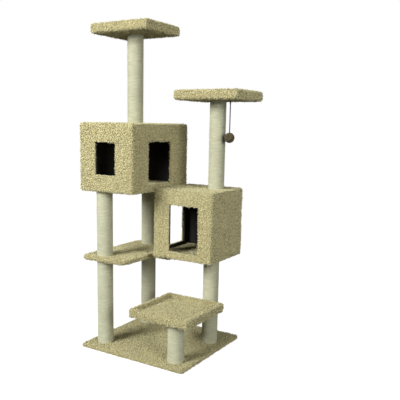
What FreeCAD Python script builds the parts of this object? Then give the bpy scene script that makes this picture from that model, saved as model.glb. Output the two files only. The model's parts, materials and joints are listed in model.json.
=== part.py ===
"""Cat tree: carpeted base, rope-wound posts, two carpeted condos, a shelf, a bed, two perches, a ball toy.

Units are millimetres. +Z is up, the origin is the centre of the base's underside, the front faces -Y.
"""
import FreeCAD, Part
import math
import os

os.makedirs("parts", exist_ok=True)

# ---------------------------------------------------------------- driving dimensions
CARPET = 7.0            # carpet with its pile
PANEL = 15.0            # boards of the base, shelf and condos
PERCH_BOARD = 18.0      # boards of the bed and perches
JAMB = 5.0              # carpet turned in round a door or window
EDGE_RADIUS = 12.0      # roundness that carpet gives to an edge
RIM_EDGE_RADIUS = 12.0
PLATE_EDGE_RADIUS = 6.0
GAP = 0.3               # between curved faces that lie against each other

BASE_WIDTH = 711.0      # 28 inches
BASE_DEPTH = 660.0      # 26 inches
BASE_CORNER = 20.0
BASE_TOP = PANEL + CARPET

POST_RADIUS = 47.0      # over the rope
ROPE = 6.0              # diameter of the sisal rope
TUBE_RADIUS = POST_RADIUS - ROPE
TUBE_WALL = 4.0
PLUG_THICKNESS = 18.0
LONG_POST = 501.0       # base to shelf
LEFT_POST_X = -259.0
LEFT_POST_FRONT_Y = -219.0
LEFT_POST_REAR_Y = 216.0
REAR_POST = (257.0, 133.0)
SHORT_POST = (253.0, -234.0)

SHELF_BOTTOM = BASE_TOP + LONG_POST
SHELF_TOP = SHELF_BOTTOM + CARPET + PANEL + CARPET
SHELF_RIGHT = -62.0
SHELF_CORNER = 40.0
TONGUE_FRONT = -20.0
TONGUE_BACK = 204.0
TONGUE_END = 60.0

UPPER_CONDO = {"x": (-379.0, -3.0), "y": (-295.0, 264.0), "z": (928.0, 1311.0)}
LOWER_CONDO = {"x": (-3.0, 379.0), "y": (-94.0, 276.0), "z": (SHELF_TOP, 950.0)}
UPPER_WINDOW = {"x": (-262.0, -125.0), "z": (1029.0, 1202.0)}
UPPER_DOOR = {"y": (-138.0, 78.0), "z": (974.0, 1209.0)}
LOWER_DOOR = {"x": (105.0, 290.0), "z": (602.0, 860.0)}
LOWER_SIDE_DOOR = {"y": (-20.0, 204.0), "z": (602.0, 860.0)}
WALL_FACES = {"front": ("y", 0), "left": ("x", 0), "right": ("x", 1)}

TRAY_RAIL_WIDTH = 16.0
TRAY_RAIL_HEIGHT = 22.0
TRAY_HEIGHT = CARPET + PERCH_BOARD + TRAY_RAIL_HEIGHT + CARPET
TRAY_CORNER = 14.0
BED = {"x": (-11.0, 378.0), "y": (-323.0, 85.0), "bottom": 243.0}
PERCH_SIZE = (395.0, 332.0)
LEFT_PERCH_POST = (-191.0, -18.0)
RIGHT_PERCH_POST = (277.0, 129.0)
LEFT_PERCH_BOTTOM = 1805.0
RIGHT_PERCH_BOTTOM = 1443.0

BOLT_RADIUS = 3.9
BOLT_HEAD_RADIUS = 8.0
BOLT_HEAD_DEPTH = 4.2
BOLT_PAST_PLUG = 8.0
TEE_BARREL_RADIUS = 5.0
TEE_BARREL_LENGTH = 10.0
TEE_FLANGE_RADIUS = 9.5
TEE_FLANGE_THICKNESS = 1.5
HOLE_CLEARANCE = 0.4
SCREW_RADIUS = 2.0
SCREW_HEAD_RADIUS = 4.0
SCREW_LENGTH = 38.0
SCREW_CLEARANCE = 0.15

TOY_OFFSET = (88.0, -21.0)      # from the right perch's post to the cord
TOY_BALL_RADIUS = 29.0
TOY_BALL_HEIGHT = 1240.5
TOY_CORD_RADIUS = 3.0
KNOT_RADIUS = 5.5
STAPLE_WIRE = 0.9
STAPLE_WIDTH = 11.0
STAPLE_DROP = 5.0
STAPLE_LEG = 17.0
LOOP_RADIUS = 3.4
LOOP_THICKNESS = 1.4


# ---------------------------------------------------------------- helpers
def vec(x, y, z):
    """A point or direction."""
    return FreeCAD.Vector(x, y, z)


def block(x, y, z):
    """A box between two limits on each axis."""
    return Part.makeBox(x[1] - x[0], y[1] - y[0], z[1] - z[0], vec(x[0], y[0], z[0]))


def inset(limits, amount):
    """Limits moved inwards at both ends."""
    return (limits[0] + amount, limits[1] - amount)


def upright_edges(shape):
    """The straight edges that run along Z."""
    found = []
    for edge in shape.Edges:
        first, last = edge.Vertexes[0].Point, edge.Vertexes[-1].Point
        if abs(first.x - last.x) < 1e-6 and abs(first.y - last.y) < 1e-6:
            found.append(edge)
    return found


def level_edges(shape, height):
    """The edges that lie in the plane z = height."""
    return [e for e in shape.Edges if all(abs(v.Point.z - height) < 1e-6 for v in e.Vertexes)]


def soft_block(x, y, z, corner, edge):
    """A box with rounded upright corners and a smaller round along its top and bottom edges."""
    body = block(x, y, z)
    body = body.makeFillet(corner, upright_edges(body))
    return body.makeFillet(edge, level_edges(body, z[0]) + level_edges(body, z[1]))


def cylinder(radius, x, y, z0, z1):
    """An upright cylinder between two heights."""
    return Part.makeCylinder(radius, z1 - z0, vec(x, y, z0))


def ring(outer, inner, x, y, z0, z1):
    """An upright tube between two heights."""
    return cylinder(outer, x, y, z0, z1).cut(cylinder(inner, x, y, z0, z1))


def minus(shape, tools):
    """The shape with each tool cut away."""
    return shape.cut(tools) if tools else shape


def save(name, shape):
    """Write one sub-part, as a plain solid or a group of solids, to its STEP file."""
    solids = shape.Solids
    kept = solids[0] if len(solids) == 1 else Part.makeCompound(solids)
    kept.exportStep("parts/" + name + ".step")
    print(name, len(solids), "solid(s)", round(sum(s.Volume for s in solids) / 1000.0, 1), "cm3")


# ---------------------------------------------------------------- fasteners
def countersunk(radius, head_radius, head_depth, length, x, y, z, up, extra=0.0):
    """A flat-head fastener whose head's face is at z and whose shank runs up or down."""
    way = 1.0 if up else -1.0
    axis = vec(0, 0, way)
    head = Part.makeCone(head_radius + extra, radius + extra, head_depth, vec(x, y, z), axis)
    shank = Part.makeCylinder(radius + extra, length + extra, vec(x, y, z), axis)
    return head.fuse(shank).removeSplitter()


def post_bolt(x, y, face, far_side, up, extra=0.0):
    """An M8 bolt from a board's face, through the carpet at far_side, into a post's plug."""
    length = abs(far_side - face) + PLUG_THICKNESS + BOLT_PAST_PLUG
    return countersunk(BOLT_RADIUS, BOLT_HEAD_RADIUS, BOLT_HEAD_DEPTH, length, x, y, face, up, extra)


def stud(x, y, z0, z1, extra=0.0):
    """A threaded stud that joins two posts through the shelf."""
    reach = PLUG_THICKNESS + BOLT_PAST_PLUG
    return cylinder(BOLT_RADIUS + extra, x, y, z0 - reach, z1 + reach)


def wood_screw(x, y, z, up, extra=0.0):
    """A countersunk wood screw with its head's face at z."""
    return countersunk(SCREW_RADIUS, SCREW_HEAD_RADIUS, SCREW_RADIUS, SCREW_LENGTH, x, y, z, up, extra)


def tee_nut(x, y, inner_face, up):
    """A tee nut in a plug: its flange lies on the plug's inner face and its barrel points at the board."""
    way = -1.0 if up else 1.0
    flange_start = inner_face - way * TEE_FLANGE_THICKNESS
    axis = vec(0, 0, way)
    flange = Part.makeCylinder(TEE_FLANGE_RADIUS, TEE_FLANGE_THICKNESS, vec(x, y, flange_start), axis)
    barrel = Part.makeCylinder(TEE_BARREL_RADIUS, TEE_BARREL_LENGTH, vec(x, y, inner_face), axis)
    length = TEE_FLANGE_THICKNESS + TEE_BARREL_LENGTH
    bore = Part.makeCylinder(BOLT_RADIUS + 0.1, length, vec(x, y, flange_start), axis)
    return flange.fuse(barrel).cut(bore).removeSplitter()


# ---------------------------------------------------------------- posts
def post_list():
    """Each post as its name, its place and its lower and upper ends."""
    posts = []
    for row, y in (("front", LEFT_POST_FRONT_Y), ("rear", LEFT_POST_REAR_Y)):
        posts.append((row + "_left_lower_post", LEFT_POST_X, y, BASE_TOP, SHELF_BOTTOM))
        posts.append((row + "_left_upper_post", LEFT_POST_X, y, SHELF_TOP, UPPER_CONDO["z"][0]))
    posts.append(("rear_right_post", *REAR_POST, BASE_TOP, LOWER_CONDO["z"][0]))
    posts.append(("bed_post", *SHORT_POST, BASE_TOP, BED["bottom"]))
    posts.append(("left_perch_post", *LEFT_PERCH_POST, UPPER_CONDO["z"][1], LEFT_PERCH_BOTTOM))
    posts.append(("right_perch_post", *RIGHT_PERCH_POST, LOWER_CONDO["z"][1], RIGHT_PERCH_BOTTOM))
    return posts


def make_posts():
    """Cardboard tubes, their rope windings, and the plugs and tee nuts in their ends."""
    plugs = []
    nuts = []
    for name, x, y, z0, z1 in post_list():
        holes = [bed_screw(at, SCREW_CLEARANCE) for at in bed_screw_places() if (x, y) == REAR_POST]
        tube = ring(TUBE_RADIUS, TUBE_RADIUS - TUBE_WALL, x, y, z0, z1)
        rope = ring(POST_RADIUS, TUBE_RADIUS + GAP, x, y, z0, z1)
        save(name + "_tube", minus(tube, holes))
        save(name + "_rope", minus(rope, holes))
        plug_radius = TUBE_RADIUS - TUBE_WALL - GAP
        for start, end, inner, up in (
            (z0, z0 + PLUG_THICKNESS, z0 + PLUG_THICKNESS, True),
            (z1 - PLUG_THICKNESS, z1, z1 - PLUG_THICKNESS, False),
        ):
            plug = cylinder(plug_radius, x, y, start, end)
            plugs.append(plug.cut(cylinder(TEE_BARREL_RADIUS + GAP, x, y, start, end)))
            nuts.append(tee_nut(x, y, inner, up))
    save("post_end_plugs", Part.makeCompound(plugs))
    save("post_tee_nuts", Part.makeCompound(nuts))


# ---------------------------------------------------------------- bolts, studs and screws
def bolt_list():
    """Each post bolt as its board's name, place, head face, carpet face and direction."""
    floor_face = UPPER_CONDO["z"][0] + CARPET + PANEL
    bolts = []
    for y in (LEFT_POST_FRONT_Y, LEFT_POST_REAR_Y):
        bolts.append(("base", LEFT_POST_X, y, 0.0, BASE_TOP, True))
        bolts.append(("upper_floor", LEFT_POST_X, y, floor_face, UPPER_CONDO["z"][0], False))
    for place in (REAR_POST, SHORT_POST):
        bolts.append(("base", *place, 0.0, BASE_TOP, True))
    lower_face = LOWER_CONDO["z"][0] + CARPET + PANEL
    bolts.append(("lower_floor", *REAR_POST, lower_face, LOWER_CONDO["z"][0], False))
    for board, place, condo in (
        ("upper_roof", LEFT_PERCH_POST, UPPER_CONDO),
        ("lower_roof", RIGHT_PERCH_POST, LOWER_CONDO),
    ):
        top = condo["z"][1]
        bolts.append((board, *place, top - CARPET - PANEL, top, True))
    for board, place, bottom in (
        ("bed", SHORT_POST, BED["bottom"]),
        ("left_perch", LEFT_PERCH_POST, LEFT_PERCH_BOTTOM),
        ("right_perch", RIGHT_PERCH_POST, RIGHT_PERCH_BOTTOM),
    ):
        bolts.append((board, *place, bottom + CARPET + PERCH_BOARD, bottom, False))
    return bolts


def bolt_holes(board):
    """What is cut from a board and its carpet for its post bolts."""
    return [post_bolt(*b[1:], extra=HOLE_CLEARANCE) for b in bolt_list() if b[0] == board]


def stud_holes():
    """What is cut from the shelf for the studs."""
    return [
        stud(LEFT_POST_X, y, SHELF_BOTTOM, SHELF_TOP, HOLE_CLEARANCE)
        for y in (LEFT_POST_FRONT_Y, LEFT_POST_REAR_Y)
    ]


def condo_screw_list(condo):
    """Screws that hold a condo's floor and roof to its walls, as place, height and direction."""
    x = inset(condo["x"], CARPET)
    y = inset(condo["y"], CARPET)
    z = inset(condo["z"], CARPET)
    half = PANEL / 2.0
    spots = []
    for share in (0.12, 0.88):
        across = x[0] + share * (x[1] - x[0])
        along = y[0] + share * (y[1] - y[0])
        spots += [(across, y[0] + half), (across, y[1] - half)]
        spots += [(x[0] + half, along), (x[1] - half, along)]
    screws = []
    for height, up in ((z[0], True), (z[1], False)):
        screws += [(px, py, height, up) for px, py in spots]
    return screws


def tongue_screw_list():
    """Screws up through the shelf's tongue into the lower condo's floor."""
    height = SHELF_BOTTOM + CARPET
    across = (LOWER_CONDO["x"][0] + 20.0, TONGUE_END - 18.0)
    along = (TONGUE_FRONT + 25.0, TONGUE_BACK - 25.0)
    return [(px, py, height, True) for px in across for py in along]


def screw_holes(screws):
    """What is cut from the boards for a list of screws."""
    return [wood_screw(*s, extra=SCREW_CLEARANCE) for s in screws]


def make_fasteners():
    """All bolts, studs and screws, each kind as one group."""
    save("post_bolts", Part.makeCompound([post_bolt(*b[1:]) for b in bolt_list()]))
    studs = [stud(LEFT_POST_X, y, SHELF_BOTTOM, SHELF_TOP) for y in (LEFT_POST_FRONT_Y, LEFT_POST_REAR_Y)]
    save("post_studs", Part.makeCompound(studs))
    screws = condo_screw_list(UPPER_CONDO) + condo_screw_list(LOWER_CONDO)
    save("condo_screws", Part.makeCompound([wood_screw(*s) for s in screws]))
    save("tongue_screws", Part.makeCompound([wood_screw(*s) for s in tongue_screw_list()]))
    save("bed_screws", Part.makeCompound([bed_screw(x) for x in bed_screw_places()]))


# ---------------------------------------------------------------- base and shelf
def make_base():
    """The base board and the carpet over its top and edges."""
    x = (-BASE_WIDTH / 2.0, BASE_WIDTH / 2.0)
    y = (-BASE_DEPTH / 2.0, BASE_DEPTH / 2.0)
    holes = bolt_holes("base")
    board = block(inset(x, CARPET), inset(y, CARPET), (0.0, PANEL))
    board = board.makeFillet(BASE_CORNER - CARPET, upright_edges(board))
    cover = block(x, y, (0.0, BASE_TOP))
    cover = cover.makeFillet(BASE_CORNER, upright_edges(cover))
    cover = cover.makeFillet(PLATE_EDGE_RADIUS, level_edges(cover, BASE_TOP))
    cover = minus(cover.cut(board), holes)
    save("base_board", minus(board, holes))
    save("base_carpet", cover)


def shelf_outline(shrink, z0, z1):
    """The shelf's plate with its tongue, smaller by shrink all round."""
    x = (UPPER_CONDO["x"][0] + shrink, SHELF_RIGHT - shrink)
    y = inset(UPPER_CONDO["y"], shrink)
    plate = block(x, y, (z0, z1))
    plate = plate.makeFillet(SHELF_CORNER - shrink, upright_edges(plate))
    tongue_x = (SHELF_RIGHT - SHELF_CORNER, TONGUE_END - shrink)
    tongue = block(tongue_x, (TONGUE_FRONT + shrink, TONGUE_BACK - shrink), (z0, z1))
    return plate.fuse(tongue).removeSplitter()


def make_shelf():
    """The shelf's board, and its carpet as a wrapped top piece and an underside piece."""
    holes = stud_holes() + screw_holes(tongue_screw_list())
    board_bottom = SHELF_BOTTOM + CARPET
    board = shelf_outline(CARPET, board_bottom, board_bottom + PANEL)
    top = shelf_outline(0.0, board_bottom, SHELF_TOP).cut(board)
    under = shelf_outline(0.0, SHELF_BOTTOM, board_bottom)
    save("shelf_board", minus(board, holes))
    save("shelf_carpet", Part.makeCompound([minus(top, holes), minus(under, holes)]))


# ---------------------------------------------------------------- condos
def wall_band(condo, side, start, end):
    """The limits across a wall, from one depth to another, measured inwards from its outer face."""
    axis, which = WALL_FACES[side]
    inwards = 1.0 if which == 0 else -1.0
    outer = condo[axis][which]
    return tuple(sorted((outer + inwards * start, outer + inwards * end)))


def opening_block(opening, band, grow):
    """A door or window as a box through the band of its wall, larger by grow all round."""
    z = inset(opening["z"], -grow)
    if "x" in opening:
        return block(inset(opening["x"], -grow), band, z)
    return block(band, inset(opening["y"], -grow), z)


def make_condo(name, condo, openings):
    """Six panels and the wall, roof, underside and floor carpets of one condo."""
    x = inset(condo["x"], CARPET)
    y = inset(condo["y"], CARPET)
    z = inset(condo["z"], CARPET)
    walls_z = inset(z, PANEL)
    side_y = inset(y, PANEL)
    panels = {
        "floor": block(x, y, (z[0], walls_z[0])),
        "roof": block(x, y, (walls_z[1], z[1])),
        "front_wall": block(x, (y[0], side_y[0]), walls_z),
        "back_wall": block(x, (side_y[1], y[1]), walls_z),
        "left_wall": block((x[0], x[0] + PANEL), side_y, walls_z),
        "right_wall": block((x[1] - PANEL, x[1]), side_y, walls_z),
    }
    tongue = screw_holes(tongue_screw_list()) if name == "lower" else []
    holes = {part: screw_holes(condo_screw_list(condo)) for part in panels}
    holes["floor"] += bolt_holes(name + "_floor") + tongue
    holes["roof"] += bolt_holes(name + "_roof")
    for side, opening in openings.items():
        board_band = wall_band(condo, side, CARPET, CARPET + PANEL)
        holes[side + "_wall"].append(opening_block(opening, board_band, JAMB))
    for part, panel in panels.items():
        save(name + "_condo_" + part, minus(panel, holes[part]))

    shell = block(condo["x"], condo["y"], condo["z"])
    shell = shell.makeFillet(EDGE_RADIUS, shell.Edges)
    strip = shell.common(block(condo["x"], condo["y"], z)).cut(block(x, y, z))
    for side, opening in openings.items():
        through = opening_block(opening, wall_band(condo, side, 0.0, CARPET + PANEL), 0.0)
        turned_in = opening_block(opening, wall_band(condo, side, CARPET, CARPET + PANEL), JAMB)
        strip = strip.cut(through).fuse(turned_in.cut(through))
    roof = shell.common(block(condo["x"], condo["y"], (z[1], condo["z"][1])))
    under = shell.common(block(condo["x"], condo["y"], (condo["z"][0], z[0])))
    lining = block(inset(x, PANEL), side_y, (walls_z[0], walls_z[0] + CARPET))
    save(name + "_condo_wall_carpet", strip.removeSplitter())
    save(name + "_condo_roof_carpet", minus(roof, bolt_holes(name + "_roof")))
    save(name + "_condo_underside_carpet", minus(under, bolt_holes(name + "_floor") + tongue))
    save(name + "_condo_floor_carpet", lining)


# ---------------------------------------------------------------- bed and perches
def bed_screw_places():
    """Two places, either side of the rear post's middle, where the bed is screwed to that post."""
    return (REAR_POST[0] - 12.0, REAR_POST[0] + 12.0)


def bed_screw(x, extra=0.0):
    """A screw through the bed's back rail into the rear post's tube."""
    start = BED["y"][1] - CARPET - TRAY_RAIL_WIDTH
    height = BED["bottom"] + CARPET + PERCH_BOARD + TRAY_RAIL_HEIGHT / 2.0
    axis = vec(0, 1, 0)
    spot = vec(x, start, height)
    head = Part.makeCone(SCREW_HEAD_RADIUS + extra, SCREW_RADIUS + extra, SCREW_RADIUS, spot, axis)
    return head.fuse(Part.makeCylinder(SCREW_RADIUS + extra, SCREW_LENGTH + extra, spot, axis))


def make_tray(name, x, y, bottom, more_holes):
    """A board with four rim rails, and its carpet as a wrapped top piece and an underside piece."""
    board_z = (bottom + CARPET, bottom + CARPET + PERCH_BOARD)
    rail_z = (board_z[1], board_z[1] + TRAY_RAIL_HEIGHT)
    wood_x = inset(x, CARPET)
    wood_y = inset(y, CARPET)
    inner_x = inset(wood_x, TRAY_RAIL_WIDTH)
    inner_y = inset(wood_y, TRAY_RAIL_WIDTH)
    holes = bolt_holes(name) + more_holes
    rails = [
        block(wood_x, (wood_y[0], inner_y[0]), rail_z),
        block(wood_x, (inner_y[1], wood_y[1]), rail_z),
        block((wood_x[0], inner_x[0]), inner_y, rail_z),
        block((inner_x[1], wood_x[1]), inner_y, rail_z),
    ]
    board = block(wood_x, wood_y, board_z)
    outer = soft_block(x, y, (bottom, bottom + TRAY_HEIGHT), TRAY_CORNER, RIM_EDGE_RADIUS)
    recess_floor = board_z[1] + CARPET
    recess_z = (recess_floor, bottom + TRAY_HEIGHT)
    recess = block(inset(inner_x, CARPET), inset(inner_y, CARPET), recess_z)
    top = outer.common(block(x, y, (board_z[0], recess_z[1])))
    top = top.cut([board, recess] + rails)
    under = outer.common(block(x, y, (bottom, board_z[0])))
    save(name + "_board", minus(board, holes))
    save(name + "_rim_rails", Part.makeCompound([minus(rail, more_holes) for rail in rails]))
    save(name + "_carpet", Part.makeCompound([minus(top, more_holes), minus(under, holes)]))


def perch_limits(post):
    """The X and Y limits of a perch centred on its post."""
    width, depth = PERCH_SIZE
    return (post[0] - width / 2.0, post[0] + width / 2.0), (post[1] - depth / 2.0, post[1] + depth / 2.0)


def make_trays():
    """The low bed and the two high perches."""
    bed_holes = [bed_screw(x, SCREW_CLEARANCE) for x in bed_screw_places()]
    make_tray("bed", BED["x"], BED["y"], BED["bottom"], bed_holes)
    left = perch_limits(LEFT_PERCH_POST)
    make_tray("left_perch", *left, LEFT_PERCH_BOTTOM, [])
    right = perch_limits(RIGHT_PERCH_POST)
    make_tray("right_perch", *right, RIGHT_PERCH_BOTTOM, [staple(HOLE_CLEARANCE)])


# ---------------------------------------------------------------- hanging ball toy
def toy_place():
    """Where the cord hangs, and the height of the staple's crown."""
    x = RIGHT_PERCH_POST[0] + TOY_OFFSET[0]
    y = RIGHT_PERCH_POST[1] + TOY_OFFSET[1]
    return x, y, RIGHT_PERCH_BOTTOM - STAPLE_DROP


def crown_direction():
    """The staple's crown lies across the line from the post to the cord."""
    length = math.hypot(*TOY_OFFSET)
    return vec(-TOY_OFFSET[1] / length, TOY_OFFSET[0] / length, 0)


def staple(extra=0.0):
    """A wire staple driven up into the perch's board."""
    x, y, crown = toy_place()
    along = crown_direction()
    centre = vec(x, y, crown)
    start = centre - along * (STAPLE_WIDTH / 2.0)
    wire = STAPLE_WIRE + extra
    legs = [
        Part.makeCylinder(wire, STAPLE_LEG + extra, start, vec(0, 0, 1)),
        Part.makeCylinder(wire, STAPLE_LEG + extra, start + along * STAPLE_WIDTH, vec(0, 0, 1)),
    ]
    bar = Part.makeCylinder(wire, STAPLE_WIDTH, start, along)
    ends = [Part.makeSphere(wire, start), Part.makeSphere(wire, start + along * STAPLE_WIDTH)]
    return bar.fuse(legs + ends)


def make_toy():
    """The staple, the cord's knotted loop, the cord and the ball."""
    x, y, crown = toy_place()
    loop_centre = vec(x, y, crown + STAPLE_WIRE + GAP + LOOP_THICKNESS - LOOP_RADIUS)
    loop = Part.makeTorus(LOOP_RADIUS, LOOP_THICKNESS, loop_centre, crown_direction())
    knot_height = loop_centre.z - LOOP_RADIUS - KNOT_RADIUS + LOOP_THICKNESS / 2.0
    knot = Part.makeSphere(KNOT_RADIUS, vec(x, y, knot_height))
    cord_top = knot_height - KNOT_RADIUS - GAP
    cord_bottom = TOY_BALL_HEIGHT + TOY_BALL_RADIUS + GAP
    save("toy_staple", staple())
    save("toy_knot", loop.fuse(knot))
    save("toy_cord", cylinder(TOY_CORD_RADIUS, x, y, cord_bottom, cord_top))
    save("toy_ball", Part.makeSphere(TOY_BALL_RADIUS, vec(x, y, TOY_BALL_HEIGHT)))
    print("toy: crown", crown, "knot", round(knot_height, 2), "cord", cord_bottom, "to", round(cord_top, 2))


make_base()
make_posts()
make_shelf()
make_condo("upper", UPPER_CONDO, {"front": UPPER_WINDOW, "right": UPPER_DOOR})
make_condo("lower", LOWER_CONDO, {"front": LOWER_DOOR, "left": LOWER_SIDE_DOOR})
make_trays()
make_fasteners()
make_toy()
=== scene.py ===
"""Visual model of a cat tree: pile carpet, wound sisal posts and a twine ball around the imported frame."""
import json
import logging
import math
from dataclasses import dataclass, field
from enum import Enum
from typing import Callable, Sequence, Union

import bmesh
import bpy
from mathutils import Matrix, Vector


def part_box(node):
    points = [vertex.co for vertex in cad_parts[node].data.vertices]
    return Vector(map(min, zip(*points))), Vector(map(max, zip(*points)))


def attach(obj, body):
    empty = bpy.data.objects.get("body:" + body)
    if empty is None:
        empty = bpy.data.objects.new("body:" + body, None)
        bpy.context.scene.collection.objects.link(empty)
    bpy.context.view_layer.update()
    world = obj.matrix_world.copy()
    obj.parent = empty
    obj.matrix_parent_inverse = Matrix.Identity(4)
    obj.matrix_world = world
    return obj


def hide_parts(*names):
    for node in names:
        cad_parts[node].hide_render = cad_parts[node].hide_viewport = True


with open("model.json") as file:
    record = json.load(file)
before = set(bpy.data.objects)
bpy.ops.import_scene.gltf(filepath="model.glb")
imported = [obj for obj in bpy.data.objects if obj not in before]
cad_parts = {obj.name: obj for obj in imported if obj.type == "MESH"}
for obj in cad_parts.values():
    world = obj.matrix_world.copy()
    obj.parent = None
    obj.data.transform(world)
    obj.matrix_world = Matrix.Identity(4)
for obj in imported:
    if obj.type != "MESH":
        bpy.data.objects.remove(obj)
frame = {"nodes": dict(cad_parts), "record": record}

LOG = logging.getLogger("cat_tree")
MM = 0.001
CARPET = 7.0 * MM  # a carpet's whole thickness, pile and backing
BOARD = 15.0 * MM  # the thickness of a condo's walls
FAR = 50.0 * MM  # how far a cutter reaches past what it cuts
FRAME_BODY = "frame"
Limits = tuple[float, float]
Spot = tuple[float, float]
Colour = tuple[float, float, float, float]
Test = Callable[[Vector, Vector], bool]


def rgb(red: float, green: float, blue: float) -> Colour:
    """An opaque linear colour."""
    return (red, green, blue, 1.0)


class Slot(Enum):
    """The record's material slots."""

    CARPET = "carpet"
    ROPE = "sisal_rope"
    TUBE = "paper_tube"
    PLUG = "plug_wood"
    BOARD = "board"
    # inner walls of the condos: a dark board, made near-black as painted shade of the unlit interiors
    DARK_BOARD = "dark_board"
    STEEL = "zinc_steel"
    BALL = "ball_jute"
    CORD = "toy_cord"


# ------------------------------------------------------------------ node trees
class Num:
    """A number socket whose arithmetic adds Math nodes to its tree."""

    def __init__(self, graph: "Graph", socket: bpy.types.NodeSocket) -> None:
        """Wrap a socket of a graph."""
        self.graph = graph
        self.socket = socket

    def math(self, operation: str, *terms: "Term") -> "Num":
        """Add one Math node.

        Args:
            operation: the node's operation.
            terms: its inputs, in order.

        Returns:
            The node's result.
        """
        node = self.graph.add("ShaderNodeMath", {"operation": operation}, dict(enumerate(terms)))
        return Num(self.graph, node.outputs[0])

    def __add__(self, other: "Term") -> "Num":
        """Sum."""
        return self.math("ADD", self, other)

    def __radd__(self, other: "Term") -> "Num":
        """Sum with a number on the left."""
        return self.math("ADD", other, self)

    def __sub__(self, other: "Term") -> "Num":
        """Difference."""
        return self.math("SUBTRACT", self, other)

    def __mul__(self, other: "Term") -> "Num":
        """Product."""
        return self.math("MULTIPLY", self, other)

    def __rmul__(self, other: "Term") -> "Num":
        """Product with a number on the left."""
        return self.math("MULTIPLY", other, self)

    def __truediv__(self, other: "Term") -> "Num":
        """Quotient."""
        return self.math("DIVIDE", self, other)

    def __rtruediv__(self, other: "Term") -> "Num":
        """Quotient with a number on the left."""
        return self.math("DIVIDE", other, self)

    def __pow__(self, other: "Term") -> "Num":
        """Power."""
        return self.math("POWER", self, other)

    def __lt__(self, other: "Term") -> "Num":
        """One where it is less, otherwise zero."""
        return self.math("LESS_THAN", self, other)

    def sine(self) -> "Num":
        """Sine, in radians."""
        return self.math("SINE", self)


Term = Union[Num, float]
Value = Union[Num, bpy.types.NodeSocket, float, int, bool, str, Sequence[float], bpy.types.Material]


class Graph:
    """Adds nodes to a node tree and joins them."""

    def __init__(self, tree: bpy.types.NodeTree) -> None:
        """Work on a tree."""
        self.tree = tree

    def add(self, kind: str, settings: dict[str, object] | None = None,
            inputs: dict[str | int, Value] | None = None) -> bpy.types.Node:
        """Add one node.

        Args:
            kind: the node's type name.
            settings: its own settings; stops are a colour ramp's places and colours.
            inputs: values or links, by socket name, identifier or number.

        Returns:
            The node.
        """
        node = self.tree.nodes.new(kind)
        for name, value in (settings or {}).items():
            if name == "stops":
                self.set_stops(node.color_ramp, value)
            else:
                setattr(node, name, value)
        for key, value in (inputs or {}).items():
            self.feed(self.find(node.inputs, key), value)
        return node

    @staticmethod
    def set_stops(ramp: bpy.types.ColorRamp, stops: Sequence[tuple[float, Colour]]) -> None:
        """Give a colour ramp its places and colours."""
        while len(ramp.elements) < len(stops):
            ramp.elements.new(1.0)
        for element, (place, colour) in zip(ramp.elements, stops):
            element.position = place
            element.color = colour

    @staticmethod
    def find(sockets: bpy.types.bpy_prop_collection, key: str | int) -> bpy.types.NodeSocket:
        """A socket by its number, its identifier or its name."""
        if isinstance(key, int):
            return sockets[key]
        return next((s for s in sockets if s.identifier == key), None) or sockets[key]

    def feed(self, socket: bpy.types.NodeSocket, value: Value) -> None:
        """Link a socket to another one, or set its value."""
        source = value.socket if isinstance(value, Num) else value
        if isinstance(source, bpy.types.NodeSocket):
            self.tree.links.new(source, socket)
        else:
            socket.default_value = source

    def num(self, kind: str, settings: dict[str, object] | None = None,
            inputs: dict[str | int, Value] | None = None, output: str | int = 0) -> Num:
        """Add one node and wrap one of its outputs as a number.

        Args:
            kind: the node's type name.
            settings: its own settings.
            inputs: values or links.
            output: the output's name, identifier or number.

        Returns:
            The wrapped output.
        """
        node = self.add(kind, settings, inputs)
        return Num(self, self.find(node.outputs, output))

    def mix(self, factor: Value, first: Value, second: Value, how: str = "MIX") -> bpy.types.NodeSocket:
        """Mix two colours.

        Args:
            factor: how much of the second.
            first: the first colour.
            second: the second colour.
            how: the blend type.

        Returns:
            The mixed colour.
        """
        settings = {"data_type": "RGBA", "blend_type": how, "clamp_result": False}
        inputs = {"Factor_Float": factor, "A_Color": first, "B_Color": second}
        return self.find(self.add("ShaderNodeMix", settings, inputs).outputs, "Result_Color")

    def noise(self, place: Value, scale: float, detail: float = 2.0, roughness: float = 0.5) -> Num:
        """A noise value at a place."""
        inputs = {"Vector": place, "Scale": scale, "Detail": detail, "Roughness": roughness}
        return self.num("ShaderNodeTexNoise", {"noise_dimensions": "3D"}, inputs, "Fac")


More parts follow.
